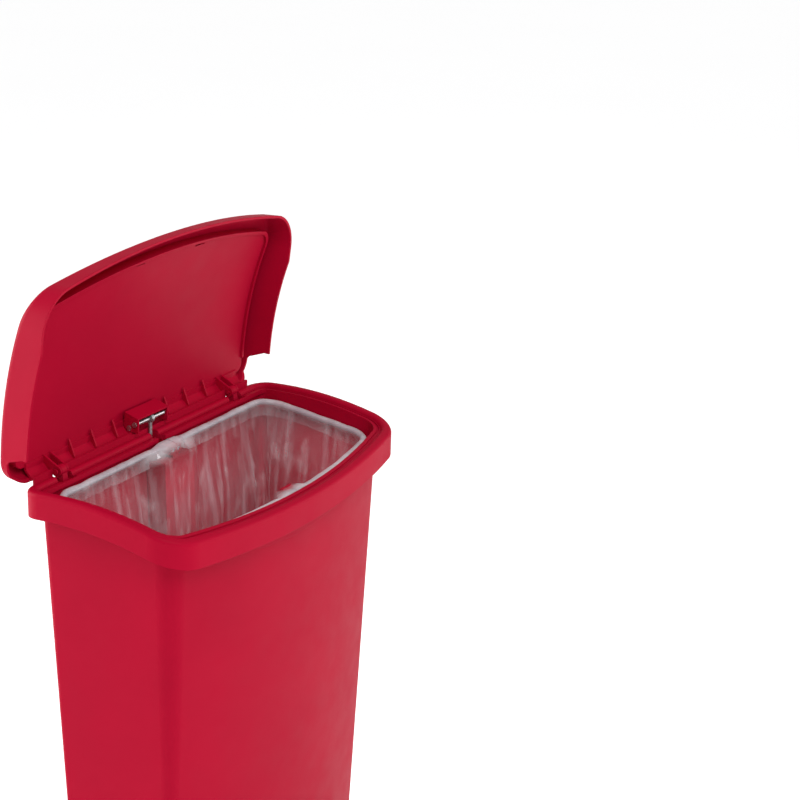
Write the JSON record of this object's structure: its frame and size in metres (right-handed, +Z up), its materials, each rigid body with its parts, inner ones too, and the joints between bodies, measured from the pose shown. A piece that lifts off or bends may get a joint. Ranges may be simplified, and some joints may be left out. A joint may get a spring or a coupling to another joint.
{
  "type": "step-on waste container",
  "caption": "Slim tapered waste container with a hinged double-skin lid, front pedal linkage, rear rollers and a two-part hinged frame that holds a translucent bag.",
  "frame": {"origin": "on the floor, under the middle of the whole width and depth with the lid open", "axes": "+Z up, -Y towards the pedal and the user, +X to the right seen from the front"},
  "size_m": [0.497, 0.3132, 0.9108],
  "materials": {
    "body_plastic": "satin moulded red",
    "lid_plastic": "satin moulded red",
    "bright_steel": "bright zinc",
    "plain_steel": "dull zinc",
    "black_rubber": "matt ribbed",
    "dark_plastic": "satin",
    "frame_wire": "light grey coated wire",
    "bag_film": "translucent milky film"
  },
  "bodies": {
    "container": {"container_shell": "body_plastic", "rod_channel_cover": "body_plastic", "hinge_pin_left": "body_plastic", "hinge_pin_right": "body_plastic", "pedal_axle": "bright_steel", "pedal_bracket": "plain_steel", "axle_clips": "plain_steel", "bracket_screws": "plain_steel", "rubber_feet": "black_rubber", "roller_axles": "bright_steel", "frame_pivot_back": "body_plastic", "frame_pivot_front": "body_plastic", "waste_bag": "bag_film"},
    "lid": {"lid_shell": "lid_plastic", "lid_inner_panel": "lid_plastic", "link_housing": "lid_plastic", "crank_pin": "bright_steel", "housing_keeper_pin": "bright_steel"},
    "rod": {"push_rod": "plain_steel", "rod_foot_pin": "bright_steel"},
    "pedal": {"pedal_lever": "plain_steel", "pedal_tread": "black_rubber", "pedal_bushes": "dark_plastic"},
    "frame_left": {"bag_frame_left": "frame_wire"},
    "frame_right": {"bag_frame_right": "frame_wire"},
    "wheel_left": {"roller_left": "dark_plastic"},
    "wheel_right": {"roller_right": "dark_plastic"}
  },
  "joints": [
    {"name": "lid_hinge", "type": "hinge", "parent": "container", "child": "lid", "pos_m": [0, 0.12148, 0.665], "axis": [-1, 0, 0], "range_deg": [-83, 0]},
    {"name": "rod_pivot", "type": "hinge", "parent": "lid", "child": "rod", "pos_m": [0, 0.12267, 0.67744], "axis": [-1, 0, 0], "range_deg": [0, 81.85]},
    {"name": "pedal_hinge", "type": "hinge", "parent": "container", "child": "pedal", "pos_m": [0, 0.02748, 0.036], "axis": [-1, 0, 0], "range_deg": [0, 12.8]},
    {"name": "frame_left_hinge", "type": "hinge", "parent": "container", "child": "frame_left", "pos_m": [-0.005, 0.09848, 0.647], "axis": [0, 0.9914, 0.1305], "range_deg": [0, 48]},
    {"name": "frame_right_hinge", "type": "hinge", "parent": "container", "child": "frame_right", "pos_m": [0.005, 0.09848, 0.647], "axis": [0, -0.9914, -0.1305], "range_deg": [0, 48]},
    {"name": "roller_left_spin", "type": "hinge", "parent": "container", "child": "wheel_left", "pos_m": [-0.12, 0.07948, 0.0175], "axis": [1, 0, 0], "continuous": true},
    {"name": "roller_right_spin", "type": "hinge", "parent": "container", "child": "wheel_right", "pos_m": [0.12, 0.07948, 0.0175], "axis": [1, 0, 0], "continuous": true}
  ],
  "couplings": [
    {"joint": "rod_pivot", "follows": "lid_hinge", "ratio": -0.98511},
    {"joint": "pedal_hinge", "follows": "lid_hinge", "ratio": -0.15308}
  ]
}
